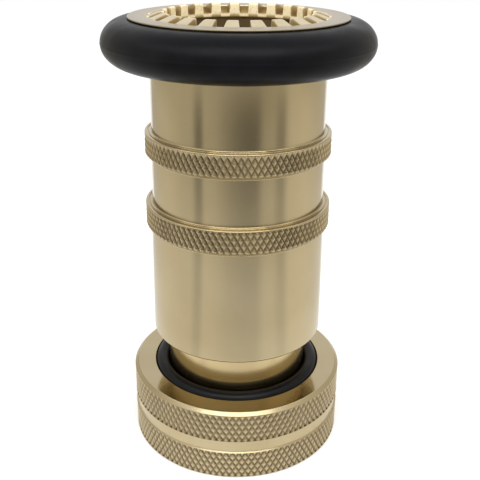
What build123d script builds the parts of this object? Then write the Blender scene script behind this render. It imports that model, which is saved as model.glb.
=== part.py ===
"""Brass twist-barrel fire hose nozzle with a swivelling hose coupling.

Millimetres. The flow axis is Z: the hose screws in from below, at Z = 0, and water leaves at the top.
The barrel is drawn at its straight-stream setting. Turning it screws it along the inlet body: up to
close the seat against the baffle, and down to bring the baffle towards the mouth for wide fog.
"""

from build123d import *
import os

os.makedirs("parts", exist_ok=True)

# ---- clearances -------------------------------------------------------------------------------
running_fit = 0.06  # radial, between the barrel and what it turns on
swivel_gap = 0.10  # radial, between the coupling and the tail of the inlet body
seat_gap = 0.02  # between pieces of one body that touch
ring_gap = 0.10  # around a rubber ring in its groove

# ---- swivel coupling --------------------------------------------------------------------------
coupling_r = 32.0
coupling_h = 22.25
coupling_chamfer = 1.0
grip_relief = 0.45  # depth of the plain band between the two knurled bands
grip_relief_z = 8.65
grip_relief_h = 4.15
thread_r = 23.6  # wall of the 1.5 inch hose thread, at its crests
thread_length = 11.6
thread_lead_in = 1.2
gasket_thickness = 3.0
gasket_lip = 1.7  # how far the gasket reaches out past the thread crests
tail_h = 4.2  # swivel tail of the inlet body, which the balls run on
dust_recess_r = 25.5

# ---- swivel balls and their loading plug ------------------------------------------------------
ball_r = 1.5
ball_count = 40
race_gap = 0.06
plug_r = 1.87
plug_slot = (0.7, 0.9)  # width and depth of the screwdriver slot
plug_sink = 1.2  # below the coupling's surface

# ---- inlet body -------------------------------------------------------------------------------
body_r = 21.0
waterway_r = 17.0
waterway_flare = 2.0  # 45 degree flare at the waterway's lower end
spigot_r = 19.55
spigot_h = 4.7
spigot_ring_wire = 0.9
spigot_ring_lift = 1.1  # of the ring's middle, above the spigot's shoulder

# ---- dust ring between the neck and the coupling ----------------------------------------------
dust_ring_lift = 0.1

# ---- barrel travel ----------------------------------------------------------------------------
travel_forward = 2.0  # to shut-off
travel_back = 10.0  # to wide fog
open_gap = 2.2  # left between the coupling and the barrel at wide fog
stop_gap = 0.3

# ---- barrel -----------------------------------------------------------------------------------
barrel_lower_r = 25.3
barrel_middle_r = 24.75
barrel_upper_r = 24.5
barrel_length = 89.5
barrel_end_chamfer = 0.8
collar_length = 29.9  # length of the narrow bore, which carries the coarse thread
bore_length = 64.9  # from the lower edge to the end of the wide bore
lower_band_z = 33.1  # root of the knurled band, above the barrel's lower edge
upper_band_z = 54.2
band_rise = 1.3  # height of each band's lower chamfer
band_fall = 0.9  # height of each band's upper chamfer
lower_band_h = 8.1
upper_band_h = 7.7
lower_band_r = 26.75
upper_band_r = 26.45
throat_r = 14.5
throat_cone = 7.0
throat_length = 1.5
seat_rise = 4.0  # the 45 degree seat above the throat
mouth_r = 20.0
mouth_lip = 1.1  # height of the ring that joins the teeth
outlet_bore_r = 20.6
wiper_wire = 2.5  # thickness of the wiper ring
wiper_z = 1.8

# ---- seal head --------------------------------------------------------------------------------
head_r = 22.5
head_h = 19.7
head_chamfer = 1.0
head_ring_wire = 2.2
head_ring_z = (9.6, 14.6)

# ---- spider, stem and baffle ------------------------------------------------------------------
spider_h = 3.5
spider_vanes = 3
vane_thickness = 2.2
hub_r = 6.0
hub_h = 9.0
stem_r = 4.0
stem_collar_r = 5.2
stem_tail = 2.0  # below the lower nut
stem_nose = 1.0  # above the upper nut
stem_chamfer = 0.8
nut_flats = 13.0
nut_h = 4.8
baffle_r = 17.0
baffle_h = 5.0
baffle_dish_r = (7.3, 10.5)  # inner and outer radius of the dished ring on its face
baffle_dish_depth = 0.8
baffle_rim = 0.6  # how far the rim leans in
baffle_seal_r = (13.0, 16.0)
baffle_seal_h = 1.8
baffle_seal_land = 1.0  # width of the flat at the ring's outer edge
shut_gap = 0.15  # left between the rubber ring and the seat at shut-off
washer_r = 6.5
washer_h = 1.0

# ---- fog tip and bumper -----------------------------------------------------------------------
flange_r = 29.85
flange_h = 0.4
flange_edge = 0.15
crown_foot_r = 24.4
crown_top_r = 21.3
crown_h = 1.1
tooth_count = 23
slot_width = 2.65
slot_end_r = 24.6
slot_depth = 1.8  # below the flange's face
tip_hub_r = 26.8
tip_hub_h = 2.75
tip_shank_r = 23.0
tip_shank_h = 6.5
bumper_centre_r = 30.5
bumper_bulge = 6.8
bumper_top_rise = 6.2
bumper_bottom_drop = 6.0

# ---- levels worked out from the sizes above ---------------------------------------------------
gasket_z = thread_length
gasket_seat_h = gasket_thickness + 2 * ring_gap
race_land_z = gasket_z + gasket_seat_h
race_land_r = thread_r - swivel_gap
tail_z = race_land_z + seat_gap
tail_r = race_land_r - swivel_gap
tail_top_z = tail_z + tail_h
dust_recess_z = tail_top_z + seat_gap
ball_z = tail_z + tail_h / 2
race_r = (tail_r + race_land_r) / 2
dust_ring_wire = dust_recess_r - body_r - 2 * ring_gap

barrel_z = coupling_h + open_gap + travel_back
barrel_top_z = barrel_z + barrel_length
collar_top_z = barrel_z + collar_length
bore_top_z = barrel_z + bore_length
collar_bore_r = body_r + running_fit
barrel_bore_r = head_r + running_fit
throat_z = bore_top_z + throat_cone
seat_z = throat_z + throat_length
seat_top_z = seat_z + seat_rise
shank_z = barrel_top_z - tip_shank_h

head_z = collar_top_z + travel_forward + stop_gap
head_top_z = head_z + head_h
spigot_ring_z = head_z + spigot_ring_lift
spider_z = head_z + spigot_h + seat_gap
spider_top_z = spider_z + spider_h
hub_z = spider_z - (hub_h - spider_h) / 2
hub_top_z = hub_z + hub_h
stem_nut_z = hub_z - nut_h - seat_gap

seal_z = seat_z + travel_forward + shut_gap  # the rubber ring's underside, where it meets the throat's radius
baffle_z = seal_z + (baffle_seal_r[0] - throat_r) + baffle_seal_h
baffle_top_z = baffle_z + baffle_h
stem_collar_top_z = baffle_z - seat_gap
baffle_nut_z = baffle_top_z + washer_h + 2 * seat_gap
stem_top_z = baffle_nut_z + nut_h + stem_nose

tip_hub_z = barrel_top_z + seat_gap
flange_z = tip_hub_z + tip_hub_h
flange_top_z = flange_z + flange_h
crown_top_z = flange_top_z + crown_h
lip_z = flange_top_z - slot_depth - mouth_lip
bumper_z = flange_z - bumper_top_rise - seat_gap


# ---- swivel coupling: two knurled bands outside, hose thread, gasket seat and ball race inside --
with BuildPart() as swivel_coupling:
    with BuildSketch(Plane.XZ):
        with BuildLine():
            Polyline(
                (thread_r + thread_lead_in, 0),
                (coupling_r - coupling_chamfer / 2, 0),
                (coupling_r, coupling_chamfer / 2),
                (coupling_r, grip_relief_z),
                (coupling_r - grip_relief, grip_relief_z + grip_relief),
                (coupling_r - grip_relief, grip_relief_z + grip_relief_h - grip_relief),
                (coupling_r, grip_relief_z + grip_relief_h),
                (coupling_r, coupling_h - coupling_chamfer),
                (coupling_r - coupling_chamfer, coupling_h),
                (dust_recess_r, coupling_h),
                (dust_recess_r, dust_recess_z),
                (race_land_r, dust_recess_z),
                (race_land_r, race_land_z),
                (thread_r + gasket_lip, race_land_z),
                (thread_r + gasket_lip, gasket_z),
                (thread_r, gasket_z),
                (thread_r, thread_lead_in),
                close=True,
            )
        make_face()
    revolve(axis=Axis.Z)
    with BuildSketch(Plane.XZ):
        with Locations((race_r, ball_z)):
            Circle(ball_r + race_gap)
    revolve(axis=Axis.Z, mode=Mode.SUBTRACT)
    with BuildSketch(Plane.XZ.offset(-race_r)):
        with Locations((0, ball_z)):
            Circle(plug_r + seat_gap)
    extrude(amount=-coupling_r, mode=Mode.SUBTRACT)
swivel_coupling.part.label = "swivel_coupling"
export_step(swivel_coupling.part, "parts/swivel_coupling.step")

# ---- loading plug: a slotted screw that closes the hole the balls went in by ---------------------
with BuildPart() as race_plug:
    plug_inner_r = race_r + ball_r + 2 * race_gap
    plug_outer_r = coupling_r - plug_sink
    with BuildSketch(Plane.XZ.offset(-plug_inner_r)):
        with Locations((0, ball_z)):
            Circle(plug_r)
    extrude(amount=-(plug_outer_r - plug_inner_r))
    with Locations((0, plug_outer_r, ball_z)):
        Box(3 * plug_r, 2 * plug_slot[1], plug_slot[0], mode=Mode.SUBTRACT)
race_plug.part.label = "race_plug"
export_step(race_plug.part, "parts/race_plug.step")

# ---- swivel balls: one full ring of loose balls ------------------------------------------------
with BuildPart() as swivel_balls:
    with Locations((0, 0, ball_z)):
        with PolarLocations(race_r, ball_count):
            Sphere(ball_r)
swivel_balls.part.label = "swivel_balls"
export_step(swivel_balls.part, "parts/swivel_balls.step")

# ---- inlet gasket: flat rubber washer snapped in behind the thread ------------------------------
with BuildPart() as inlet_gasket:
    with BuildSketch(Plane.XY.offset(gasket_z + ring_gap)):
        Circle(thread_r + gasket_lip - ring_gap)
        Circle(waterway_r + waterway_flare, mode=Mode.SUBTRACT)
    extrude(amount=gasket_thickness)
inlet_gasket.part.label = "inlet_gasket"
export_step(inlet_gasket.part, "parts/inlet_gasket.step")

# ---- inlet body: ball-raced tail, polished neck, guide tube and spigot --------------------------
with BuildPart() as inlet_body:
    with BuildSketch(Plane.XZ):
        with BuildLine():
            Polyline(
                (waterway_r + waterway_flare, tail_z),
                (tail_r, tail_z),
                (tail_r, tail_top_z),
                (body_r, tail_top_z),
                (body_r, head_z - seat_gap),
                (spigot_r, head_z - seat_gap),
                (spigot_r, spider_z - seat_gap),
                (waterway_r, spider_z - seat_gap),
                (waterway_r, tail_z + waterway_flare),
                close=True,
            )
        make_face()
        # groove for the static seal, just above the spigot's shoulder
        with Locations((spigot_r, spigot_ring_z)):
            Rectangle(2 * (spigot_ring_wire + ring_gap), spigot_ring_wire + 4 * ring_gap, mode=Mode.SUBTRACT)
    revolve(axis=Axis.Z)
    with BuildSketch(Plane.XZ):
        with Locations((race_r, ball_z)):
            Circle(ball_r + race_gap)
    revolve(axis=Axis.Z, mode=Mode.SUBTRACT)
inlet_body.part.label = "inlet_body"
export_step(inlet_body.part, "parts/inlet_body.step")


# ---- rubber rings of round wire, each by the radius of its centre line, its level and its wire ---
head_ring_r = head_r - head_ring_wire / 2
rubber_rings = {
    "dust_ring": (
        body_r + ring_gap + dust_ring_wire / 2,
        dust_recess_z + dust_ring_lift + dust_ring_wire / 2,
        dust_ring_wire,
    ),
    "spigot_seal": (spigot_r - spigot_ring_wire / 2, spigot_ring_z, spigot_ring_wire),
    "head_ring_lower": (head_ring_r, head_z + head_ring_z[0], head_ring_wire),
    "head_ring_upper": (head_ring_r, head_z + head_ring_z[1], head_ring_wire),
    "barrel_wiper": (
        body_r + running_fit + wiper_wire / 2,
        barrel_z + wiper_z + wiper_wire / 2,
        wiper_wire,
    ),
}
for ring_name, (ring_r, ring_z, ring_wire) in rubber_rings.items():
    with BuildPart() as rubber_ring:
        with BuildSketch(Plane.XZ):
            with Locations((ring_r, ring_z)):
                Circle(ring_wire / 2)
        revolve(axis=Axis.Z)
    rubber_ring.part.label = ring_name
    export_step(rubber_ring.part, f"parts/{ring_name}.step")

# ---- seal head: screws onto the spigot, holds the spider and seals inside the barrel -------------
with BuildPart() as seal_head:
    with BuildSketch(Plane.XZ):
        with BuildLine():
            Polyline(
                (spigot_r + seat_gap, head_z),
                (head_r, head_z),
                (head_r, head_top_z - head_chamfer),
                (head_r - head_chamfer, head_top_z),
                (waterway_r + head_chamfer, head_top_z),
                (waterway_r, head_top_z - head_chamfer),
                (waterway_r, spider_top_z + seat_gap),
                (spigot_r + seat_gap, spider_top_z + seat_gap),
                close=True,
            )
        make_face()
        for groove_z in head_ring_z:
            with Locations((head_r, head_z + groove_z)):
                Rectangle(
                    2 * (head_ring_wire + ring_gap), head_ring_wire + 4 * ring_gap, mode=Mode.SUBTRACT
                )
    revolve(axis=Axis.Z)
seal_head.part.label = "seal_head"
export_step(seal_head.part, "parts/seal_head.step")

# ---- spider: a ring, radial vanes and the hub that carries the stem ------------------------------
with BuildPart() as spider:
    with BuildSketch(Plane.XY.offset(spider_z)):
        Circle(spigot_r - seat_gap)
        Circle(waterway_r, mode=Mode.SUBTRACT)
    extrude(amount=spider_h)
    with BuildSketch(Plane.XY.offset(hub_z)):
        Circle(hub_r)
    extrude(amount=hub_h)
    vane_span = (waterway_r + spigot_r) / 2 - hub_r / 2
    with Locations((0, 0, spider_z + spider_h / 2)):
        with PolarLocations(hub_r / 2 + vane_span / 2, spider_vanes):
            Box(vane_span, vane_thickness, spider_h)
    with BuildSketch(Plane.XY.offset(hub_z)):
        Circle(stem_r + seat_gap)
    extrude(amount=hub_h, mode=Mode.SUBTRACT)
spider.part.label = "spider"
export_step(spider.part, "parts/spider.step")

# ---- stem: from the hub up to the baffle, with a thicker middle that takes the clamping load ------
with BuildPart() as stem:
    with BuildSketch(Plane.XZ):
        with BuildLine():
            Polyline(
                (0, stem_nut_z - stem_tail),
                (stem_r, stem_nut_z - stem_tail),
                (stem_r, hub_top_z + seat_gap),
                (stem_collar_r, hub_top_z + seat_gap),
                (stem_collar_r, stem_collar_top_z),
                (stem_r, stem_collar_top_z),
                (stem_r, stem_top_z - stem_chamfer),
                (stem_r - stem_chamfer, stem_top_z),
                (0, stem_top_z),
                close=True,
            )
        make_face()
    revolve(axis=Axis.Z)
stem.part.label = "stem"
export_step(stem.part, "parts/stem.step")

# ---- hexagon nuts at the two ends of the stem ------------------------------------------------------
for nut_name, nut_z in (("stem_nut", stem_nut_z), ("baffle_nut", baffle_nut_z)):
    with BuildPart() as nut:
        with BuildSketch(Plane.XY.offset(nut_z)):
            RegularPolygon(nut_flats / 2, 6, major_radius=False)
            Circle(stem_r + seat_gap, mode=Mode.SUBTRACT)
        extrude(amount=nut_h)
    nut.part.label = nut_name
    export_step(nut.part, f"parts/{nut_name}.step")

# ---- washer under the baffle's nut ----------------------------------------------------------------
with BuildPart() as baffle_washer:
    with BuildSketch(Plane.XY.offset(baffle_top_z + seat_gap)):
        Circle(washer_r)
        Circle(stem_r + seat_gap, mode=Mode.SUBTRACT)
    extrude(amount=washer_h)
baffle_washer.part.label = "baffle_washer"
export_step(baffle_washer.part, "parts/baffle_washer.step")

# ---- baffle: the cone that the stream is spread by --------------------------------------------------
with BuildPart() as baffle:
    dish_inner_r, dish_outer_r = baffle_dish_r
    with BuildSketch(Plane.XZ):
        with BuildLine():
            Polyline(
                (stem_r + seat_gap, baffle_z),
                (baffle_seal_r[0], baffle_z),
                (baffle_r, baffle_z + baffle_r - baffle_seal_r[0]),
                (baffle_r - baffle_rim, baffle_top_z),
                (dish_outer_r + baffle_dish_depth, baffle_top_z),
                (dish_outer_r, baffle_top_z - baffle_dish_depth),
                (dish_inner_r, baffle_top_z - baffle_dish_depth),
                (dish_inner_r, baffle_top_z),
                (stem_r + seat_gap, baffle_top_z),
                close=True,
            )
        make_face()
    revolve(axis=Axis.Z)
baffle.part.label = "baffle"
export_step(baffle.part, "parts/baffle.step")

# ---- baffle seal: rubber ring with a 45 degree face that shuts on the barrel's seat -----------------
with BuildPart() as baffle_seal:
    seal_inner_r, seal_outer_r = baffle_seal_r
    seal_land_r = seal_outer_r - baffle_seal_land
    seal_rise = seal_land_r - seal_inner_r
    with BuildSketch(Plane.XZ):
        with BuildLine():
            Polyline(
                (stem_collar_r + seat_gap, baffle_z - baffle_seal_h),
                (seal_inner_r, baffle_z - baffle_seal_h),
                (seal_land_r, baffle_z - baffle_seal_h + seal_rise),
                (seal_land_r, baffle_z + seal_rise - 2 * seat_gap),
                (seal_inner_r, baffle_z - 2 * seat_gap),
                (stem_collar_r + seat_gap, baffle_z - 2 * seat_gap),
                close=True,
            )
        make_face()
    revolve(axis=Axis.Z)
baffle_seal.part.label = "baffle_seal"
export_step(baffle_seal.part, "parts/baffle_seal.step")

# ---- barrel: two raised grip bands outside, thread bore, seal bore, throat and seat inside -----------
with BuildPart() as barrel:
    lower_band = barrel_z + lower_band_z
    upper_band = barrel_z + upper_band_z
    wiper_groove_z = barrel_z + wiper_z
    with BuildSketch(Plane.XZ):
        with BuildLine():
            Polyline(
                (collar_bore_r, barrel_z),
                (barrel_lower_r - barrel_end_chamfer, barrel_z),
                (barrel_lower_r, barrel_z + barrel_end_chamfer),
                (barrel_lower_r, lower_band),
                (lower_band_r, lower_band + band_rise),
                (lower_band_r, lower_band + lower_band_h - band_fall),
                (barrel_middle_r, lower_band + lower_band_h),
                (barrel_middle_r, upper_band),
                (upper_band_r, upper_band + band_rise),
                (upper_band_r, upper_band + upper_band_h - band_fall),
                (barrel_upper_r, upper_band + upper_band_h),
                (barrel_upper_r, barrel_top_z),
                (tip_shank_r + seat_gap, barrel_top_z),
                (tip_shank_r + seat_gap, shank_z - seat_gap),
                (outlet_bore_r, shank_z - seat_gap),
                (throat_r + seat_rise, seat_top_z),
                (throat_r, seat_z),
                (throat_r, throat_z),
                (barrel_bore_r, bore_top_z),
                (barrel_bore_r, collar_top_z),
                (collar_bore_r, collar_top_z),
                close=True,
            )
        make_face()
        with Locations((collar_bore_r, wiper_groove_z + wiper_wire / 2)):
            Rectangle(2 * (wiper_wire + ring_gap), wiper_wire + 2 * ring_gap, mode=Mode.SUBTRACT)
    revolve(axis=Axis.Z)
barrel.part.label = "barrel"
export_step(barrel.part, "parts/barrel.step")

# ---- fog tip: flange that holds the bumper, toothed crown and a shank screwed into the barrel --------
with BuildPart() as fog_tip:
    with BuildSketch(Plane.XZ):
        with BuildLine():
            Polyline(
                (outlet_bore_r, shank_z),
                (tip_shank_r, shank_z),
                (tip_shank_r, tip_hub_z),
                (tip_hub_r, tip_hub_z),
                (tip_hub_r, flange_z),
                (flange_r, flange_z),
                (flange_r, flange_top_z - flange_edge),
                (flange_r - flange_edge, flange_top_z),
                (crown_foot_r, flange_top_z),
                (crown_top_r, crown_top_z),
                (mouth_r, crown_top_z),
                (mouth_r, lip_z),
                (outlet_bore_r, lip_z - outlet_bore_r + mouth_r),
                close=True,
            )
        make_face()
    revolve(axis=Axis.Z)
    slot_length = slot_end_r - mouth_r + slot_width
    slot_height = slot_depth + 2 * crown_h
    with Locations((0, 0, flange_top_z - slot_depth + slot_height / 2)):
        with PolarLocations(slot_end_r - slot_length / 2, tooth_count, start_angle=180 / tooth_count):
            Box(slot_length, slot_width, slot_height, mode=Mode.SUBTRACT)
fog_tip.part.label = "fog_tip"
export_step(fog_tip.part, "parts/fog_tip.step")

# ---- rubber bumper: a fat ring around the barrel's end, under the flange ------------------------------
with BuildPart() as rubber_bumper:
    bumper_inner_r = barrel_upper_r + seat_gap
    with BuildSketch(Plane.XZ):
        with Locations((bumper_centre_r, bumper_z)):
            Ellipse(bumper_bulge, bumper_bottom_drop)
        with Locations((bumper_centre_r, bumper_z + bumper_bottom_drop / 2)):
            Rectangle(2 * bumper_bulge, bumper_bottom_drop, mode=Mode.SUBTRACT)
        with Locations((bumper_centre_r, bumper_z)):
            Ellipse(bumper_bulge, bumper_top_rise)
        with Locations((bumper_inner_r - bumper_bulge, bumper_z)):
            Rectangle(2 * bumper_bulge, 4 * bumper_bulge, mode=Mode.SUBTRACT)
        with Locations((tip_hub_r + seat_gap - bumper_bulge, tip_hub_z - seat_gap + bumper_bulge)):
            Rectangle(2 * bumper_bulge, 2 * bumper_bulge, mode=Mode.SUBTRACT)
    revolve(axis=Axis.Z)
rubber_bumper.part.label = "rubber_bumper"
export_step(rubber_bumper.part, "parts/rubber_bumper.step")
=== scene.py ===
"""Looks of the brass fire hose nozzle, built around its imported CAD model.

Outlines are in millimetres, in the model's own frame: the flow axis is Z and the hose end is at Z = 0.
Each turned piece is a grid of rows along its outline and columns around the axis. Knurls, threads and
teeth are real relief of that grid.
"""

import math

import bpy
import numpy as np
from mathutils import Matrix, Vector

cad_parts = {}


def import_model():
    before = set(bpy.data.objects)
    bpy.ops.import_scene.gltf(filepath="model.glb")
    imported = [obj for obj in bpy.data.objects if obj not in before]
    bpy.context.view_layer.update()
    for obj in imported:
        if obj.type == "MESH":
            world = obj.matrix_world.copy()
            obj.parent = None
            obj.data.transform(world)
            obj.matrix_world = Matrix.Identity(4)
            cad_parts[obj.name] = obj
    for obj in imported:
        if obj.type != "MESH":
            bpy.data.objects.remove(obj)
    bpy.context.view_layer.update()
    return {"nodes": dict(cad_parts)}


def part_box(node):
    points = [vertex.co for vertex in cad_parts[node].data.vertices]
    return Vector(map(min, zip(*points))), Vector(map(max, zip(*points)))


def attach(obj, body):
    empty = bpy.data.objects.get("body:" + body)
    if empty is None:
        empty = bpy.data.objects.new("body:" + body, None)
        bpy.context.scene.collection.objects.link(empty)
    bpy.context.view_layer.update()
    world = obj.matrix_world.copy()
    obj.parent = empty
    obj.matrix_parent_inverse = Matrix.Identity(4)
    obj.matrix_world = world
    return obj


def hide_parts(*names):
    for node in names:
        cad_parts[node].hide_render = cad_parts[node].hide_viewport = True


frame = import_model()

MM = 0.001
FIT_GAP = 0.02  # left between a replaced piece and what it is fitted to, in millimetres
RUBBER_GAP = 0.03


# ---- where things are, from the frame ------------------------------------------------------------
def low(node):
    """Lowest level of a CAD node, in millimetres."""
    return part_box(node)[0].z / MM


def high(node):
    """Highest level of a CAD node, in millimetres."""
    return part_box(node)[1].z / MM


def outer(node):
    """Largest radius of a CAD node that goes all the way round, in millimetres."""
    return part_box(node)[1].x / MM


# ---- outlines and grids --------------------------------------------------------------------------
SUPPORT = 0.06  # extra rows this far from a rounding keep the flats beside it flat
LONG_SIDE = 4  # a side this many roundings long gets such rows
SIDE_SHARE = 0.45  # of a side that one rounding may take
ROUNDING_STEPS = 4
LEVEL_GAP = 0.05  # between an added row and its wall's ends
TOUCH = 1e-6  # slack between levels that are meant to be equal
HAIR = 0.01  # taken off or added when rows are picked by their radius or level


def rounded(corners, closed=True):
    """Outline of (r, z, rounding) corners: each corner that has a rounding becomes a short curve."""
    points = []
    count = len(corners)
    for i, (r, z, rounding) in enumerate(corners):
        here = np.array([r, z])
        inner_corner = closed or 0 < i < count - 1
        if rounding == 0 or not inner_corner:
            points.append(here)
            continue
        before = np.array(corners[i - 1][:2]) - here
        after = np.array(corners[(i + 1) % count][:2]) - here
        before_length = np.linalg.norm(before)
        after_length = np.linalg.norm(after)
        reach = min(rounding, before_length * SIDE_SHARE, after_length * SIDE_SHARE)
        before = before / before_length
        after = after / after_length
        if before_length > LONG_SIDE * reach:
            points.append(here + before * (reach + SUPPORT))
        for t in np.linspace(0, 1, ROUNDING_STEPS + 1):
            points.append(here + before * reach * (1 - t) ** 2 + after * reach * t**2)
        if after_length > LONG_SIDE * reach:
            points.append(here + after * (reach + SUPPORT))
    return np.array(points)


def with_levels(outline, min_r, levels):
    """The outline with extra rows at the given levels, on its walls that lie beyond min_r."""
    points = []
    for i, here in enumerate(outline):
        there = outline[(i + 1) % len(outline)]
        points.append(here)
        if min(here[0], there[0]) < min_r:
            continue
        low_z, high_z = sorted((here[1], there[1]))
        inside = [z for z in levels if low_z + LEVEL_GAP < z < high_z - LEVEL_GAP]
        for z in inside if there[1] > here[1] else inside[::-1]:
            share = (z - here[1]) / (there[1] - here[1])
            points.append(here + (there - here) * share)
    return np.array(points)


def grid_mesh(name, r, z, theta, closed=True, split=None, sharp=38.0, masks=None):
    """A mesh of rows and columns around the Z axis, from radii and levels in millimetres.

    closed joins the last row to the first; otherwise a face closes each end row. split says, for each
    cell, which diagonal parts it into triangles.
    """
    rows, columns = np.broadcast_shapes(r.shape, z.shape, theta.shape)
    r, z, theta = (np.broadcast_to(a, (rows, columns)) for a in (r, z, theta))
    xyz = np.stack([r * np.cos(theta), r * np.sin(theta), z], axis=-1).reshape(-1, 3) * MM
    index = np.arange(rows * columns).reshape(rows, columns)
    lower = index if closed else index[:-1]
    upper = np.roll(index, -1, axis=0) if closed else index[1:]
    a, b = lower, np.roll(lower, -1, axis=1)
    d, c = upper, np.roll(upper, -1, axis=1)
    if split is None:
        faces = np.stack([a, b, c, d], axis=-1).reshape(-1, 4).tolist()
    else:
        rising = split[: len(lower)]
        first = np.where(rising[..., None], np.stack([a, b, c], -1), np.stack([a, b, d], -1))
        second = np.where(rising[..., None], np.stack([a, c, d], -1), np.stack([b, c, d], -1))
        faces = np.concatenate([first.reshape(-1, 3), second.reshape(-1, 3)]).tolist()
    if not closed:
        faces.append(index[0][::-1].tolist())
        faces.append(index[-1].tolist())
    mesh = bpy.data.meshes.new(name)
    mesh.from_pydata(xyz, [], faces)
    mesh.validate()
    for mask_name, values in (masks or {}).items():
        attribute = mesh.attributes.new(mask_name, "FLOAT", "POINT")
        values = np.broadcast_to(values, (rows, columns)).astype(np.float32)
        attribute.data.foreach_set("value", values.ravel())
    mesh.polygons.foreach_set("use_smooth", np.ones(len(mesh.polygons), bool))
    mesh.set_sharp_from_angle(angle=math.radians(sharp))
    piece = bpy.data.objects.new(name, mesh)
    bpy.context.scene.collection.objects.link(piece)
    return piece


def around(columns):
    """Angles of that many columns."""
    return np.arange(columns)[None, :] * 2 * math.pi / columns


def turned(name, outline, columns=256):
    """A plain turned piece from a closed outline."""
    return grid_mesh(name, outline[:, :1], outline[:, 1:], around(columns))


SEAM_STEP = 0.012  # between the rows at a moulding line, as an angle in its section
SEAM_HALF = 0.02  # over which the line falls


def ring_outline(centre_r, centre_z, half_width, up, down, steps, seam):
    """A closed oval section, with a moulding line raised by seam at its widest point."""
    angles = np.linspace(0, 2 * math.pi, steps, endpoint=False)
    near_seam = np.array([-3, -2, -1, 1, 2, 3]) * SEAM_STEP
    angles = np.sort(np.concatenate([angles, near_seam % (2 * math.pi)]))
    from_seam = np.minimum(angles, 2 * math.pi - angles)
    lift = seam * np.clip(1.5 - from_seam / SEAM_HALF, 0, 1)
    height = np.where(np.sin(angles) > 0, up, down)
    r = centre_r + (half_width - seam + lift) * np.cos(angles)
    return np.stack([r, centre_z + height * np.sin(angles)], axis=-1)


# ---- knurls and threads --------------------------------------------------------------------------
KNURL_SAMPLES = 6  # columns and rows across one diamond
KNURL_HEIGHT = 3.2  # of one diamond
KNURL_FLAT = 0.90  # height at which the diamonds' tips are worn flat
KNURL_DEPTH = 0.5
KNURL_REACH = 1.2  # rows further than this inside a band's radius aren't cut
THREAD_ROWS = 8  # rows along one pitch
ROOT_FLAT = 1.25  # how much deeper a thread's groove would be if its root weren't flat


def triangle_wave(x):
    return 1 - np.abs(2 * (x - np.floor(x)) - 1)


def knurl_waves(z, theta, count, phase_z):
    """The two families of slanting ridges that cross in a diamond knurl, each from 0 to 1."""
    across = theta * count / (2 * math.pi)
    along = (z - phase_z) / KNURL_HEIGHT
    return triangle_wave(across + along), triangle_wave(across - along)


def knurl_levels(start, stop):
    """Levels of the rows that a knurl needs."""
    step = KNURL_HEIGHT / KNURL_SAMPLES
    return start + step * np.arange(int((stop - start) / step) + 1)


def knurl_relief(r, z, theta, count, bands, lighter):
    """Radii cut by knurled bands (radius, start, stop), the split of each cell, and the groove mask.

    lighter is the depth of one family of grooves as a share of the other's.
    """
    mask = np.zeros(np.broadcast_shapes(r.shape, theta.shape))
    split = np.zeros(mask.shape, bool)
    cut = r + mask
    for radius, start, stop in bands:
        first, second = knurl_waves(z, theta, count, start)
        second = 1 - (1 - second) * lighter
        height = np.minimum(np.minimum(first, second), KNURL_FLAT) + 1 - KNURL_FLAT
        surface = radius - KNURL_DEPTH * (1 - height)
        inside = (z >= start - TOUCH) & (z <= stop + TOUCH) & (r > radius - KNURL_REACH)
        cut = np.where(inside, np.minimum(r, surface), cut)
        mask = np.where(inside & (r > surface), 1 - height, mask)
        half_cell = math.pi / (count * KNURL_SAMPLES)
        middle = knurl_waves(z + KNURL_HEIGHT / KNURL_SAMPLES / 2, theta + half_cell, count, start)
        split = np.where(inside, middle[1] < middle[0], split)
    return cut, split, mask


def thread_relief(z, theta, pitch, depth, start, stop):
    """Depth of a V thread's groove at each point, fading out at both ends."""
    wave = triangle_wave(z / pitch - theta / (2 * math.pi))
    fade = np.clip((z - start) / pitch, 0, 1) * np.clip((stop - z) / pitch, 0, 1)
    return depth * np.clip(ROOT_FLAT * wave, 0, 1) * fade


# ---- materials -----------------------------------------------------------------------------------
def material(name, colour, metallic, roughness, **sockets):
    """A Principled material and its nodes, with constants set on the shader itself."""
    made = bpy.data.materials.new(name)
    made.use_nodes = True
    shader = made.node_tree.nodes["Principled BSDF"]
    shader.inputs["Base Color"].default_value = (*colour, 1)
    shader.inputs["Metallic"].default_value = metallic
    shader.inputs["Roughness"].default_value = roughness
    for socket, value in sockets.items():
        shader.inputs[socket.replace("_", " ")].default_value = value
    return made, shader


def node(made, kind, **settings):
    """A new node with its settings; a setting whose name is an input's is that input's value."""
    added = made.node_tree.nodes.new(kind)
    for key, value in settings.items():
        if key in added.inputs:
            added.inputs[key].default_value = value
        else:
            setattr(added, key, value)
    return added


def link(made, out, into):
    made.node_tree.links.new(out, into)


def noise(made, scale, detail, stretch=(1, 1, 1)):
    """Noise in the object's own metres, stretched along its axes. Returns the factor's socket."""
    place = node(made, "ShaderNodeTexCoord")
    mapping = node(made, "ShaderNodeMapping")
    mapping.inputs["Scale"].default_value = stretch
    texture = node(made, "ShaderNodeTexNoise", Scale=scale, Detail=detail)
    link(made, place.outputs["Object"], mapping.inputs["Vector"])
    link(made, mapping.outputs["Vector"], texture.inputs["Vector"])
    return texture.outputs["Fac"]


def mapped(made, value, from_min, from_max, to_min, to_max):
    """The value moved from one range to another, and held within it."""
    ranged = node(made, "ShaderNodeMapRange")
    ends = {"From Min": from_min, "From Max": from_max, "To Min": to_min, "To Max": to_max}
    for socket, number in ends.items():
        ranged.inputs[socket].default_value = number
    link(made, value, ranged.inputs["Value"])
    return ranged.outputs["Result"]


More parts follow.
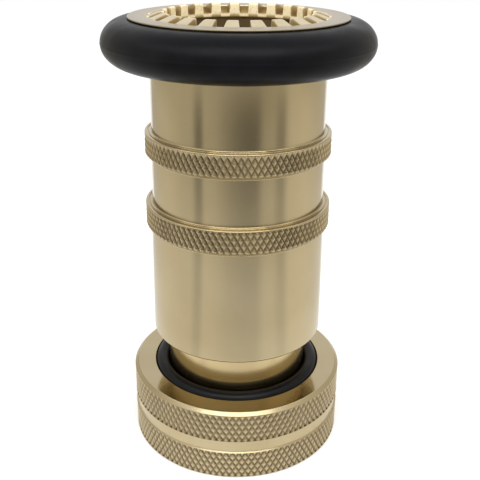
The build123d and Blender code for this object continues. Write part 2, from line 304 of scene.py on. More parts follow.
def mixed(made, factor, first, second):
    """Two colours mixed by a factor. Each colour is a tuple or a socket."""
    mix = node(made, "ShaderNodeMix", data_type="RGBA")
    link(made, factor, mix.inputs[0])
    for socket, colour in ((mix.inputs[6], first), (mix.inputs[7], second)):
        if isinstance(colour, tuple):
            socket.default_value = (*colour, 1)
        else:
            link(made, colour, socket)
    return mix.outputs[2]


def bumped(made, shader, height, distance, before=None):
    """A bump of that many metres, on top of another if one is given. Returns its normal's socket."""
    bump = node(made, "ShaderNodeBump", Distance=distance, Strength=1.0)
    link(made, height, bump.inputs["Height"])
    if before is not None:
        link(made, before, bump.inputs["Normal"])
    link(made, bump.outputs["Normal"], shader.inputs["Normal"])
    return bump.outputs["Normal"]


TURNED_ANISOTROPY = 0.6  # turning rings smear a reflection along the axis
ACROSS_THE_RINGS = 0.25  # of a full turn
FINE_RINGS = (0.1, 0.1, 5200)  # noise stretched round the axis, per metre
WIDE_RINGS = (0.1, 0.1, 1300)
RING_HEIGHT = 0.0000006  # metres
POLISHED_RING_HEIGHT = 0.000001
POLISHED_FACE = 0.11  # roughness where the polish mask is set
BRASS = (0.47, 0.394, 0.245)
BRASS_DEEP = (0.42, 0.342, 0.20)
BRASS_BRIGHT = (0.54, 0.43, 0.235)
BRASS_FACE = (0.36, 0.305, 0.21)  # the fog tip's machined flange
BRASS_CAST = (0.98, 0.85, 0.57)
BRASS_CAST_DEEP = (0.88, 0.73, 0.45)
# painted shade: tan brown for the floors and end walls of the fog tip's slots
SLOT_SHADE = (0.38, 0.265, 0.105)
# dark brass: dirt in the cast skin's pits, and painted shade in the knurl's grooves and down the bore
BRASS_DIRT_AND_SHADE = (0.10, 0.066, 0.03)
SLOT_MASK = 0.75  # value of the groove mask in the fog tip's slots


def turned_brass(name, roughness, ring_height=RING_HEIGHT, colour=BRASS, deep=BRASS_DEEP):
    """Brass off the lathe: fine rings around the axis, slight cloudy tarnish, uneven polish."""
    smear = {"Anisotropic": TURNED_ANISOTROPY, "Anisotropic_Rotation": ACROSS_THE_RINGS}
    made, shader = material(name, colour, 1.0, roughness, **smear)
    cloud = mapped(made, noise(made, 45, 4), 0.35, 0.7, 0, 1)
    rings_fine = noise(made, 1.0, 2, FINE_RINGS)
    rings_wide = noise(made, 1.0, 2, WIDE_RINGS)
    tinted = mixed(made, cloud, colour, deep)
    streaked = mixed(made, mapped(made, rings_wide, 0.3, 0.7, 0, 0.05), tinted, deep)
    link(made, streaked, shader.inputs["Base Color"])
    uneven = mapped(made, rings_wide, 0.3, 0.7, roughness * 0.95, roughness * 1.06)
    link(made, uneven, shader.inputs["Roughness"])
    bumped(made, shader, rings_fine, ring_height)
    return made


def knurled_brass(name, roughness):
    """Turned brass with painted shade that darkens the knurl's grooves, and smoother where it is
    polished.
    """
    made = turned_brass(name, roughness)
    shader = made.node_tree.nodes["Principled BSDF"]
    base = shader.inputs["Base Color"].links[0].from_socket
    groove = node(made, "ShaderNodeAttribute", attribute_name="groove").outputs["Fac"]
    # painted shade: the colour darkens with the knurl's groove depth
    groove_shade = mapped(made, groove, 0.2, 0.9, 0, 0.85)
    link(made, mixed(made, groove_shade, base, BRASS_DIRT_AND_SHADE), shader.inputs["Base Color"])
    polish = node(made, "ShaderNodeAttribute", attribute_name="polish").outputs["Fac"]
    link(made, mapped(made, polish, 0, 1, roughness, POLISHED_FACE), shader.inputs["Roughness"])
    return made


def product(made, first, second):
    """Two values multiplied."""
    times = node(made, "ShaderNodeMath", operation="MULTIPLY")
    link(made, first, times.inputs[0])
    link(made, second, times.inputs[1])
    return times.outputs[0]


def cast_brass(name):
    """Cast brass: grainy skin with small pits where the cast mask is set, machined elsewhere.

    The groove mask paints the slots' tan shade up to three quarters, and the painted dark of the bore
    beyond that.
    """
    made, shader = material(name, BRASS_CAST, 1.0, 0.42)
    grain = noise(made, 1700, 3)
    lumps = noise(made, 420, 2)
    cloud = mapped(made, noise(made, 160, 3), 0.35, 0.7, 0, 1)
    pits = mapped(made, grain, 0.28, 0.42, 1, 0)
    aged = mixed(made, cloud, BRASS_CAST, BRASS_CAST_DEEP)
    roughcast_and_fill_light = node(made, "ShaderNodeAttribute", attribute_name="cast").outputs["Fac"]
    groove = node(made, "ShaderNodeAttribute", attribute_name="groove").outputs["Fac"]
    # painted light in part: the mask's full value at the mouth lightens the wall, standing in for fill
    # light
    skin = mixed(made, roughcast_and_fill_light, BRASS_FACE, aged)
    speckles = mapped(made, product(made, pits, roughcast_and_fill_light), 0, 1, 0, 0.45)
    speckled = mixed(made, speckles, skin, BRASS_DIRT_AND_SHADE)
    # painted shade: tan in the slots, and dark down the bore below the lip
    slot_shaded = mixed(made, mapped(made, groove, 0, SLOT_MASK, 0, 0.9), speckled, SLOT_SHADE)
    dark = mixed(made, mapped(made, groove, 0.8, 1, 0, 0.9), slot_shaded, BRASS_DIRT_AND_SHADE)
    link(made, dark, shader.inputs["Base Color"])
    link(made, mapped(made, roughcast_and_fill_light, 0, 1, 0.3, 0.5), shader.inputs["Roughness"])
    link(made, mapped(made, roughcast_and_fill_light, 0, 1, 1, 0.45), shader.inputs["Metallic"])
    lumpy = bumped(made, shader, product(made, lumps, roughcast_and_fill_light), 0.00010)
    bumped(made, shader, product(made, grain, roughcast_and_fill_light), 0.00004, before=lumpy)
    return made


def rubber(name, colour, roughness, grain=0.00001, **sockets):
    """Moulded black rubber: faint mottling, a bloom that lightens it in places, and a fine grain."""
    made, shader = material(name, colour, 0.0, roughness, **sockets)
    bloom = mapped(made, noise(made, 70, 5), 0.4, 0.75, 0, 1)
    lighter = tuple(c * 1.5 + 0.002 for c in colour)
    link(made, mixed(made, bloom, colour, lighter), shader.inputs["Base Color"])
    uneven = mapped(made, noise(made, 180, 4), 0.3, 0.7, roughness * 0.85, roughness * 1.2)
    link(made, uneven, shader.inputs["Roughness"])
    bumped(made, shader, noise(made, 2400, 2), grain)
    return made


def steel(name, roughness):
    """Stainless steel with fine scratches."""
    made, shader = material(name, (0.56, 0.55, 0.53), 1.0, roughness)
    scratches = noise(made, 1.0, 3, (900, 900, 60))
    uneven = mapped(made, scratches, 0.3, 0.7, roughness * 0.8, roughness * 1.3)
    link(made, uneven, shader.inputs["Roughness"])
    bumped(made, shader, scratches, 0.000004)
    return made


polished = turned_brass("brass_polished", 0.15, POLISHED_RING_HEIGHT, BRASS_BRIGHT, BRASS_BRIGHT)
machined = turned_brass("brass_machined", 0.24)
knurled = knurled_brass("brass_knurled", 0.25)
knurled_satin = knurled_brass("brass_satin_knurled", 0.17)
cast = cast_brass("brass_cast")
stainless = steel("stainless", 0.22)
ball_steel = steel("ball_steel", 0.08)
BUMPER_BLACK = (0.0018, 0.0020, 0.0028)
RING_BLACK = (0.003, 0.003, 0.0035)
GASKET_BLACK = (0.030, 0.028, 0.027)
bumper_rubber = rubber("bumper_rubber", BUMPER_BLACK, 0.36, Specular_IOR_Level=0.09)
ring_rubber = rubber("black_rubber", RING_BLACK, 0.3, grain=0.000004, Specular_IOR_Level=0.14)
gasket_rubber = rubber("gasket_rubber", GASKET_BLACK, 0.6)


def finish_piece(piece, made, body, cad_name):
    """Gives the piece its material and its body, and hides the CAD node that it stands for."""
    piece.data.materials.append(made)
    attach(piece, body)
    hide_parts(cad_name)


# ---- swivel coupling -----------------------------------------------------------------------------
COUPLING_KNURLS = 108
COUPLING_LIGHTER = 0.95  # depth of one family of grooves, as a share of the other's
COUPLING_FOOT = 0.6  # chamfer around its foot
BAND_END_GAP = 0.1  # between a knurl's end and the bevel
KNURL_OVERRUN = 0.02  # past the corners of the plain band
GRIP_RELIEF = 0.45
GRIP_RELIEF_Z = 8.65
GRIP_RELIEF_H = 4.15
COUPLING_BEVEL = 1.0
THREAD_CREST_R = 23.6
THREAD_PITCH = 2.82
THREAD_DEPTH = 1.5
THREAD_LENGTH = 11.6
THREAD_LEAD_IN = 1.2
THREAD_MARGIN = 0.4  # between the thread's rows and its ends
GASKET_SEAT_R = 25.3
GASKET_SEAT_TOP = 14.8
DUST_RECESS_R = 25.5
DUST_RECESS_Z = 19.04
LAND_R = 23.5

coupling_r = outer("swivel_coupling")
coupling_top = high("swivel_coupling")


def coupling():
    relief_top = GRIP_RELIEF_Z + GRIP_RELIEF_H
    waist_r = coupling_r - GRIP_RELIEF
    outline = rounded(
        [
            (THREAD_CREST_R + THREAD_LEAD_IN, 0, 0.15),
            (coupling_r - COUPLING_FOOT, 0, 0.25),
            (coupling_r, COUPLING_FOOT, 0.1),
            (coupling_r, GRIP_RELIEF_Z, 0.06),
            (waist_r, GRIP_RELIEF_Z + GRIP_RELIEF, 0.1),
            (waist_r, relief_top - GRIP_RELIEF, 0.1),
            (coupling_r, relief_top, 0.06),
            (coupling_r, coupling_top - COUPLING_BEVEL, 0.12),
            (coupling_r - COUPLING_BEVEL, coupling_top, 0.2),
            (DUST_RECESS_R, coupling_top, 0.3),
            (DUST_RECESS_R, DUST_RECESS_Z, 0),
            (LAND_R, DUST_RECESS_Z, 0),
            (LAND_R, GASKET_SEAT_TOP, 0),
            (GASKET_SEAT_R, GASKET_SEAT_TOP, 0),
            (GASKET_SEAT_R, THREAD_LENGTH, 0),
            (THREAD_CREST_R, THREAD_LENGTH, 0.2),
            (THREAD_CREST_R, THREAD_LEAD_IN, 0.2),
        ]
    )
    outline = with_levels(outline, coupling_r - HAIR, knurl_levels(COUPLING_FOOT, coupling_top))
    thread_levels = np.arange(THREAD_LEAD_IN, THREAD_LENGTH, THREAD_PITCH / THREAD_ROWS)
    thread_start = THREAD_LEAD_IN + THREAD_MARGIN
    thread_stop = THREAD_LENGTH - THREAD_MARGIN
    thread_rows = [(THREAD_CREST_R, z) for z in thread_levels[::-1] if thread_start < z < thread_stop]
    on_crest = (outline[:, 0] < THREAD_CREST_R + HAIR) & (outline[:, 1] < THREAD_LENGTH + HAIR)
    last = np.flatnonzero(on_crest & (outline[:, 1] > THREAD_LENGTH / 2))[-1]
    outline = np.concatenate([outline[: last + 1], thread_rows, outline[last + 1 :]])
    theta = around(COUPLING_KNURLS * KNURL_SAMPLES)
    r, z = outline[:, :1], outline[:, 1:]
    bands = [
        (coupling_r, COUPLING_FOOT, GRIP_RELIEF_Z + KNURL_OVERRUN),
        (coupling_r, relief_top - KNURL_OVERRUN, coupling_top - COUPLING_BEVEL - BAND_END_GAP),
    ]
    cut, split, mask = knurl_relief(r, z, theta, COUPLING_KNURLS, bands, COUPLING_LIGHTER)
    thread = thread_relief(z, theta, THREAD_PITCH, THREAD_DEPTH, THREAD_LEAD_IN, THREAD_LENGTH)
    in_bore = (r < THREAD_CREST_R + HAIR) & (z < THREAD_LENGTH - HAIR) & (z > THREAD_LEAD_IN)
    cut = np.where(in_bore, cut + thread, cut)
    top_face = (z > coupling_top - HAIR) & (r < coupling_r - COUPLING_BEVEL)
    masks = {"groove": mask, "polish": top_face.astype(float)}
    piece = grid_mesh("coupling_ring", cut, z, theta, split=split, sharp=30, masks=masks)
    cut_plug_hole(piece)
    finish_piece(piece, knurled, "swivel", "swivel_coupling")


PLUG_CUT_DEPTH = 0.012  # metres, inwards from the plug's head


def cut_plug_hole(piece):
    """Cuts the hole that the balls' loading plug closes."""
    lowest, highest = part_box("race_plug")
    centre = (lowest + highest) / 2
    bpy.ops.mesh.primitive_cylinder_add(
        vertices=48,
        radius=(highest.x - lowest.x) / 2 + FIT_GAP * MM,
        depth=PLUG_CUT_DEPTH,
        location=(0, lowest.y + PLUG_CUT_DEPTH / 2, centre.z),
        rotation=(math.pi / 2, 0, 0),
    )
    cutter = bpy.context.active_object
    cut = piece.modifiers.new("plug_hole", "BOOLEAN")
    cut.object = cutter
    cut.operation = "DIFFERENCE"
    cut.solver = "EXACT"
    bpy.context.view_layer.objects.active = piece
    bpy.ops.object.modifier_apply(modifier=cut.name)
    bpy.data.objects.remove(cutter)


# ---- barrel --------------------------------------------------------------------------------------
BARREL_KNURLS = 94
BARREL_LOWER_R = 25.33
BARREL_MIDDLE_R = 24.76
BARREL_UPPER_R = 24.5
BARREL_END_CHAMFER = 0.45
BARREL_LIGHTER = 0.85
BAND_EDGE_DROP = 0.42  # from a band's top down to its rounded outer edge
BAND_EDGE_ROUNDING = 0.62
SLEEVE_ROW = 0.6  # above a band's top, a row that keeps the sleeve straight
# the thin groove turned into a band's top, and where the top meets the sleeve, from outside in:
# (radius beyond the sleeve's, drop from the band's top, rounding)
BAND_GROOVE = [
    (1.10, 0.36, 0.08),
    (1.05, 0.62, 0.03),
    (0.80, 0.62, 0.03),
    (0.75, 0.38, 0.06),
    (0, 0.30, 0.55),
]
KNURL_TOP_DROP = 1.0  # from a band's top to its knurl's end
BAND_ROW_DROP = 0.6  # and to the last row added for it
BAND_ROW_REACH = 0.1  # inside the sleeve's radius, walls get no added rows
LOWER_BAND = {"root": 33.1, "height": 8.1, "r": 26.75, "rise": 1.32}
UPPER_BAND = {"root": 54.2, "height": 7.7, "r": 26.45, "rise": 1.32}
COLLAR_BORE_R = 21.06
SEAL_BORE_R = 22.56
COLLAR_LENGTH = 29.9
BORE_LENGTH = 64.9
THROAT_R = 14.5
THROAT_CONE = 7.0
THROAT_LENGTH = 1.5
SEAT_RISE = 4.0
MOUTH_R = 20.0
OUTLET_BORE_R = 20.6
SHANK_R = 23.02

barrel_low = low("barrel")
barrel_high = high("barrel")


def band_corners(band, r_below, r_above):
    """Corners of one raised band, from below up, with the groove in its top."""
    root = barrel_low + band["root"]
    top = root + band["height"]
    return [
        (r_below, root, 0.12),
        (band["r"], root + band["rise"], 0.1),
        (band["r"], top - BAND_EDGE_DROP, BAND_EDGE_ROUNDING),
        *[(r_above + beyond, top - drop, rounding) for beyond, drop, rounding in BAND_GROOVE],
        (r_above, top + SLEEVE_ROW, 0),
    ]


def barrel():
    seat_z = barrel_low + BORE_LENGTH + THROAT_CONE + THROAT_LENGTH
    shank_z = low("fog_tip") - FIT_GAP
    outline = rounded(
        [
            (COLLAR_BORE_R, barrel_low, 0.3),
            (BARREL_LOWER_R - BARREL_END_CHAMFER, barrel_low, 0.25),
            (BARREL_LOWER_R, barrel_low + BARREL_END_CHAMFER, 0.35),
            *band_corners(LOWER_BAND, BARREL_LOWER_R, BARREL_MIDDLE_R),
            *band_corners(UPPER_BAND, BARREL_MIDDLE_R, BARREL_UPPER_R),
            (BARREL_UPPER_R, barrel_high, 0.1),
            (SHANK_R, barrel_high, 0),
            (SHANK_R, shank_z, 0),
            (OUTLET_BORE_R, shank_z, 0.3),
            (THROAT_R + SEAT_RISE, seat_z + SEAT_RISE, 0.4),
            (THROAT_R, seat_z, 0.3),
            (THROAT_R, seat_z - THROAT_LENGTH, 0.6),
            (SEAL_BORE_R, barrel_low + BORE_LENGTH, 0.2),
            (SEAL_BORE_R, barrel_low + COLLAR_LENGTH, 0.1),
            (COLLAR_BORE_R, barrel_low + COLLAR_LENGTH, 0.2),
        ]
    )
    bands = []
    for band in (LOWER_BAND, UPPER_BAND):
        start = barrel_low + band["root"]
        stop = start + band["height"]
        levels = knurl_levels(start, stop - BAND_ROW_DROP)
        outline = with_levels(outline, BARREL_UPPER_R - BAND_ROW_REACH, levels)
        bands.append((band["r"], start, stop - KNURL_TOP_DROP))
    theta = around(BARREL_KNURLS * KNURL_SAMPLES)
    r, z = outline[:, :1], outline[:, 1:]
    cut, split, mask = knurl_relief(r, z, theta, BARREL_KNURLS, bands, BARREL_LIGHTER)
    masks = {"groove": mask}
    piece = grid_mesh("barrel_sleeve", cut, z, theta, split=split, sharp=30, masks=masks)
    finish_piece(piece, knurled_satin, "barrel", "barrel")


# ---- fog tip -------------------------------------------------------------------------------------
TEETH = 23
SLOT_WIDTH = 2.65
SLOT_END_R = 24.6
SLOT_DEPTH = 1.8
CROWN_FOOT_R = 24.4
CROWN_TOP_R = 21.3
CROWN_H = 1.1
CROWN_ROUNDING = 0.35
FLANGE_EDGE = 0.15
HUB_R = 26.8
MOUTH_LIP = 1.1  # height of the bright lip under the slots
FLANGE_TOP_R = 1.0  # inside the flange's edge, where its flat top starts
FLANGE_LOW_ROUNDING = 0.12
WALL = 0.12  # half the width over which a slot's wall falls
WALL_ROWS = np.array([-0.45, -0.22, -WALL, -0.06, 0, 0.06, WALL, 0.22, 0.45])
TOOTH_COLUMNS = np.array([0.2, 0.4, 0.6, 0.8])  # shares of a tooth's width
FAR_FROM_SLOT = 9.0  # stands for the distance of those columns from a slot
ROUNDED_TEETH = 1.2  # the teeth's edges are rounded up to this far beyond the crown's foot
MOUTH_ROWS = (0.15, 0.4, 0.7, 1.0)  # shares of the mouth's wall, from the teeth down
# the mask's full value at the mouth also paints that wall lighter: painted light in place of fill
# light on its shaded faces
CAST_AND_FILL_LIGHT_MASK_R = (MOUTH_R + 0.2, MOUTH_R + 0.9, CROWN_FOOT_R, CROWN_FOOT_R + 0.9)
CAST_AND_FILL_LIGHT_MASK = (1, 0.4, 0.4, 0)  # the mouth is rough, the crown half so, and the flange machined
SLOT_MASK_GAIN = 6
# painted shade: the bore darkens in colour below the lip
DARK_DEPTH = 0.3  # over which the bore darkens, at the lip's foot


def smooth_step(x):
    x = np.clip(x, 0, 1)
    return x * x * (3 - 2 * x)


def fog_tip():
    crown_top = high("fog_tip")
    flange_top = crown_top - CROWN_H
    flange_r = outer("fog_tip")
    flange_low = high("rubber_bumper") + FIT_GAP
    shank_low = low("fog_tip")
    slot_floor = flange_top - SLOT_DEPTH
    lip_foot = slot_floor - MOUTH_LIP
    half = SLOT_WIDTH / 2
    pitch = 2 * math.pi / TEETH
    edge = half + WALL_ROWS
    across = np.sort(np.concatenate([-edge, [-half / 3, half / 3], edge]))
    crown = rounded(
        [
            (flange_r - FLANGE_TOP_R, flange_top, 0),
            (CROWN_FOOT_R, flange_top, 0.5),
            (CROWN_TOP_R, crown_top, 0.5),
            (MOUTH_R, crown_top, 0),
        ],
        closed=False,
    )
    slot_rows = SLOT_END_R - WALL_ROWS
    inner_rows = MOUTH_R + CROWN_ROUNDING * (1 - np.sin(np.linspace(0, 1, 5) * math.pi / 2))
    top_r = np.unique(np.round(np.concatenate([crown[:, 0], slot_rows, inner_rows]), 4))[::-1]
    top_z = np.interp(top_r, crown[::-1, 0], crown[::-1, 1])
    fall = np.clip(MOUTH_R + CROWN_ROUNDING - top_r, 0, CROWN_ROUNDING)
    top_z = top_z - (CROWN_ROUNDING - np.sqrt(CROWN_ROUNDING**2 - fall**2))
    # columns: fixed distances from each slot's middle line, and shares of the angle that is left
    slot_angle = np.arcsin(across[None, :] / top_r[:, None])
    tooth_width = pitch + slot_angle[:, :1] - slot_angle[:, -1:]
    tooth_angle = slot_angle[:, -1:] + TOOTH_COLUMNS * tooth_width
    one_pitch = np.concatenate([slot_angle, tooth_angle], axis=1)
    distance = np.concatenate([np.abs(across) - half, np.full(len(TOOTH_COLUMNS), FAR_FROM_SLOT)])
    beyond = np.maximum(distance[None, :], top_r[:, None] - SLOT_END_R)
    rise = smooth_step((beyond + WALL) / (2 * WALL))
    # the teeth's own edges are rounded, as castings are
    from_wall = np.clip(beyond, 0, CROWN_ROUNDING)
    soften = CROWN_ROUNDING - np.sqrt(CROWN_ROUNDING**2 - (CROWN_ROUNDING - from_wall) ** 2)
    soften = soften * (top_r[:, None] < CROWN_FOOT_R + ROUNDED_TEETH)
    height = slot_floor + (top_z[:, None] - slot_floor - soften) * rise
    start_angle = math.radians(180 / TEETH)
    shift = np.arange(TEETH)[None, :, None] * pitch + start_angle
    theta = (one_pitch[:, None, :] + shift).reshape(len(top_r), -1)
    height = np.tile(height, (1, TEETH))
    columns = theta.shape[1]
    # the underside, from the foot of the mouth's lip out to the flange's edge
    rest = rounded(
        [
            (MOUTH_R, lip_foot, 0),
            (OUTLET_BORE_R, lip_foot - OUTLET_BORE_R + MOUTH_R, 0.2),
            (OUTLET_BORE_R, shank_low, 0.1),
            (SHANK_R - FIT_GAP, shank_low, 0.1),
            (SHANK_R - FIT_GAP, barrel_high + FIT_GAP, 0),
            (HUB_R, barrel_high + FIT_GAP, 0),
            (HUB_R, flange_low, 0),
            (flange_r, flange_low, FLANGE_LOW_ROUNDING),
            (flange_r, flange_top, FLANGE_EDGE),
            (flange_r - FLANGE_TOP_R, flange_top, 0),
        ],
        closed=False,
    )[1:-1]
    # rows in order: the crown from its rim in, the mouth's wall from the teeth down, the underside
    r_rows = [np.broadcast_to(top_r[:, None], theta.shape)]
    z_rows = [height]
    for share in MOUTH_ROWS:
        r_rows.append(np.full((1, columns), MOUTH_R))
        z_rows.append(height[-1:] + (lip_foot - height[-1:]) * share)
    r_rows.append(np.broadcast_to(rest[:, :1], (len(rest), columns)))
    z_rows.append(np.broadcast_to(rest[:, 1:], (len(rest), columns)))
    r = np.concatenate(r_rows)
    z = np.concatenate(z_rows)
    theta = np.concatenate([theta, np.broadcast_to(theta[-1:], (len(r) - len(theta), columns))])
    # painted shade: the slots, and the bore below the lip, are darkened through the groove mask
    in_slots = np.tile(np.clip(SLOT_MASK_GAIN * (1 - rise), 0, 1), (1, TEETH))
    in_slots = np.concatenate([in_slots, np.zeros((len(r) - len(rise), columns))])
    deep = (r < OUTLET_BORE_R + HAIR) * np.clip((lip_foot - z) / DARK_DEPTH + 1, 0, 1)
    masks = {
        "cast": np.interp(r, CAST_AND_FILL_LIGHT_MASK_R, CAST_AND_FILL_LIGHT_MASK)[::-1],
        "groove": np.maximum(SLOT_MASK * in_slots, deep)[::-1],
    }
    piece = grid_mesh("fog_crown", r[::-1], z[::-1], theta[::-1], sharp=50, masks=masks)
    finish_piece(piece, cast, "barrel", "fog_tip")


# ---- rubber pieces -------------------------------------------------------------------------------
BUMPER_TOP_RISE = 6.2
BUMPER_BOTTOM_DROP = 6.0
BUMPER_BULGE = 6.8
BUMPER_SEAM = 0.05
DUST_SEAM = 0.03
GASKET_HOLE_R = 19.0
GASKET_ROUNDING = 0.4


def bumper():
    centre_z = low("rubber_bumper") + BUMPER_BOTTOM_DROP
    centre_r = outer("rubber_bumper") - BUMPER_BULGE
    rise_and_drop = (BUMPER_TOP_RISE, BUMPER_BOTTOM_DROP)
    outline = ring_outline(centre_r, centre_z, BUMPER_BULGE, *rise_and_drop, 64, BUMPER_SEAM)
    inner_r = np.where(outline[:, 1] > barrel_high, HUB_R + RUBBER_GAP, BARREL_UPPER_R + RUBBER_GAP)
    outline[:, 0] = np.maximum(outline[:, 0], inner_r)
    piece = turned("bumper_ring", outline)
    finish_piece(piece, bumper_rubber, "barrel", "rubber_bumper")


def dust_seal():
    half = (high("dust_ring") - low("dust_ring")) / 2
    centre_z = (high("dust_ring") + low("dust_ring")) / 2
    centre_r = outer("dust_ring") - half
    outline = ring_outline(centre_r, centre_z, half, half, half, 40, DUST_SEAM)
    finish_piece(turned("dust_seal", outline), ring_rubber, "swivel", "dust_ring")


def gasket():
    bottom, top = low("inlet_gasket"), high("inlet_gasket")
    r = outer("inlet_gasket")
    corners = [(GASKET_HOLE_R, bottom), (r, bottom), (r, top), (GASKET_HOLE_R, top)]
    piece = turned("hose_gasket", rounded([(*corner, GASKET_ROUNDING) for corner in corners]), 160)
    finish_piece(piece, gasket_rubber, "swivel", "inlet_gasket")


# ---- inlet body ----------------------------------------------------------------------------------
NECK_R = 21.0
WATERWAY_R = 17.0
WATERWAY_FLARE = 2.0
SPIGOT_R = 19.55
TAIL_H = 4.2


def inlet():
    bottom, top = low("inlet_body"), high("inlet_body")
    tail_r = outer("inlet_body")
    shoulder = low("seal_head") - FIT_GAP
    outline = rounded(
        [
            (WATERWAY_R + WATERWAY_FLARE, bottom, 0.2),
            (tail_r, bottom, 0.2),
            (tail_r, bottom + TAIL_H, 0.2),
            (NECK_R, bottom + TAIL_H, 0.3),
            (NECK_R, shoulder, 0.2),
            (SPIGOT_R, shoulder, 0),
            (SPIGOT_R, top, 0.1),
            (WATERWAY_R, top, 0.2),
            (WATERWAY_R, bottom + WATERWAY_FLARE, 0.4),
        ]
    )
    piece = turned("inlet_neck", outline)
    finish_piece(piece, polished, "inlet", "inlet_body")


# ---- baffle and stem -----------------------------------------------------------------------------
BAFFLE_SEAT_R = 13.0
BAFFLE_DISH_R = (7.3, 11.5)
BAFFLE_DISH_DEPTH = 0.8
BAFFLE_DISH_SLOPE = 1
BAFFLE_TOP_IN = 0.6  # slope of its edge, up to the top
STEM_HOLE_R = 4.02  # through the baffle and the nuts


def baffle_head():
    bottom, top = low("baffle"), high("baffle")
    r = outer("baffle")
    dish_in, dish_out = BAFFLE_DISH_R
    outline = rounded(
        [
            (STEM_HOLE_R, bottom, 0),
            (BAFFLE_SEAT_R, bottom, 0.2),
            (r, bottom + r - BAFFLE_SEAT_R, 0.3),
            (r - BAFFLE_TOP_IN, top, 0.3),
            (dish_out, top, 0.4),
            (dish_out - BAFFLE_DISH_SLOPE, top - BAFFLE_DISH_DEPTH, 0.4),
            (dish_in, top - BAFFLE_DISH_DEPTH, 0.3),
            (dish_in, top, 0.1),
            (STEM_HOLE_R, top, 0),
        ]
    )
    piece = turned("baffle_head", outline, 192)
    finish_piece(piece, machined, "inlet", "baffle")


NUT_CHAMFER_SLOPE = 0.6  # drop of the corners' chamfer over its width
NUT_CHAMFER_ROWS = np.array([0, 0.12, 0.25, 0.4, 0.6, 0.85, 1.0])  # shares of that drop
NUT_FACE_IN = 0.15  # the face's circle is this much inside the flats
NUT_CORNER_OUT = 0.2  # makes the chamfer's cone pass the corners before its last row


def hex_nut(name, cad_name):
    """Hexagon nut with chamfered corners on both faces."""
    bottom, top = low(cad_name), high(cad_name)
    inradius = (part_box(cad_name)[1].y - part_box(cad_name)[0].y) / MM / 2
    theta = around(144)
    hexagon = inradius / np.cos(np.mod(theta, math.pi / 3) - math.pi / 6)
    corner = inradius / math.cos(math.pi / 6)
    drop = (corner - inradius) * NUT_CHAMFER_SLOPE
    side = np.concatenate([bottom + drop * NUT_CHAMFER_ROWS, top - drop * NUT_CHAMFER_ROWS[::-1]])
    reach = np.concatenate([NUT_CHAMFER_ROWS, NUT_CHAMFER_ROWS[::-1]])
    cone = inradius - NUT_FACE_IN + (corner - inradius + NUT_CORNER_OUT) * reach
    r_side = np.minimum(hexagon, cone[:, None])
    bore = np.array([[STEM_HOLE_R, top], [STEM_HOLE_R, bottom]])
    r = np.concatenate([r_side, np.broadcast_to(bore[:, :1], (2, theta.shape[1]))])
    z = np.concatenate([side[:, None], bore[:, 1:]])
    piece = grid_mesh(name, r, z, theta, sharp=25)
    finish_piece(piece, stainless, "inlet", cad_name)


STEM_PITCH = 1.25
STEM_R = 4.0
STEM_COLLAR_R = 5.2
STEM_THREAD_DEPTH = 0.45
STEM_FACE_R = 0.4  # the end faces are closed inside this radius
STEM_THREAD_TOP = 0.5  # plain length at the stem's end
STEM_THREAD_START = 0.2  # the thread starts this far below the nut's top
STEM_WALL_R = 3.5  # rows inside this radius aren't threaded


def stem_rod():
    bottom, top = low("stem"), high("stem")
    hub_top = high("spider") + FIT_GAP
    seat = low("baffle") - FIT_GAP
    nut_top = high("baffle_nut")
    outline = rounded(
        [
            (STEM_FACE_R, bottom, 0),
            (STEM_R, bottom, 0.5),
            (STEM_R, hub_top, 0),
            (STEM_COLLAR_R, hub_top, 0.15),
            (STEM_COLLAR_R, seat, 0.15),
            (STEM_R, seat, 0),
            (STEM_R, top, 0.6),
            (STEM_FACE_R, top, 0),
        ],
        closed=False,
    )
    levels = np.arange(nut_top, top - STEM_THREAD_TOP, STEM_PITCH / THREAD_ROWS)
    outline = with_levels(outline, STEM_R - HAIR, levels)
    theta = around(64)
    r, z = outline[:, :1], outline[:, 1:]
    ends = (nut_top - STEM_PITCH, top + STEM_PITCH)
    relief = thread_relief(z, theta, STEM_PITCH, STEM_THREAD_DEPTH, *ends)
    threaded = (z > nut_top - STEM_THREAD_START) & (r > STEM_WALL_R)
    cut = r - np.where(threaded, relief, 0)
    piece = grid_mesh("stem_rod", cut, z, theta, closed=False, sharp=50)
    finish_piece(piece, stainless, "inlet", "stem")


coupling()
barrel()
fog_tip()
bumper()
dust_seal()
gasket()
inlet()
baffle_head()
hex_nut("nut_upper", "baffle_nut")
hex_nut("nut_lower", "stem_nut")
stem_rod()

for cad_name, made in {
    "race_plug": machined,
    "seal_head": machined,
    "spider": machined,
    "swivel_balls": ball_steel,
    "baffle_washer": stainless,
    "baffle_seal": ring_rubber,
    "spigot_seal": ring_rubber,
    "head_ring_lower": ring_rubber,
    "head_ring_upper": ring_rubber,
    "barrel_wiper": ring_rubber,
}.items():
    mesh = frame["nodes"][cad_name].data
    mesh.materials.clear()
    mesh.materials.append(made)


# ---- stage ---------------------------------------------------------------------------------------
FLOOR_HALF = 4.0


def floor():
    mesh = bpy.data.meshes.new("floor")
    corners = [(x * FLOOR_HALF, y * FLOOR_HALF, 0) for x, y in ((-1, -1), (1, -1), (1, 1), (-1, 1))]
    mesh.from_pydata(corners, [], [(0, 1, 2, 3)])
    piece = bpy.data.objects.new("floor", mesh)
    bpy.context.scene.collection.objects.link(piece)
    made, _ = material("floor_white", (0.93, 0.93, 0.93), 0.0, 0.7)
    mesh.materials.append(made)


def softbox(name, place, target, width, height, power):
    """A rectangular soft light at a place, aimed at a target."""
    data = bpy.data.lights.new(name, "AREA")
    data.shape = "RECTANGLE"
    data.size = width
    data.size_y = height
    data.energy = power
    lamp = bpy.data.objects.new(name, data)
    lamp.location = place
    lamp.rotation_euler = (Vector(target) - Vector(place)).to_track_quat("-Z", "Y").to_euler()
    bpy.context.scene.collection.objects.link(lamp)


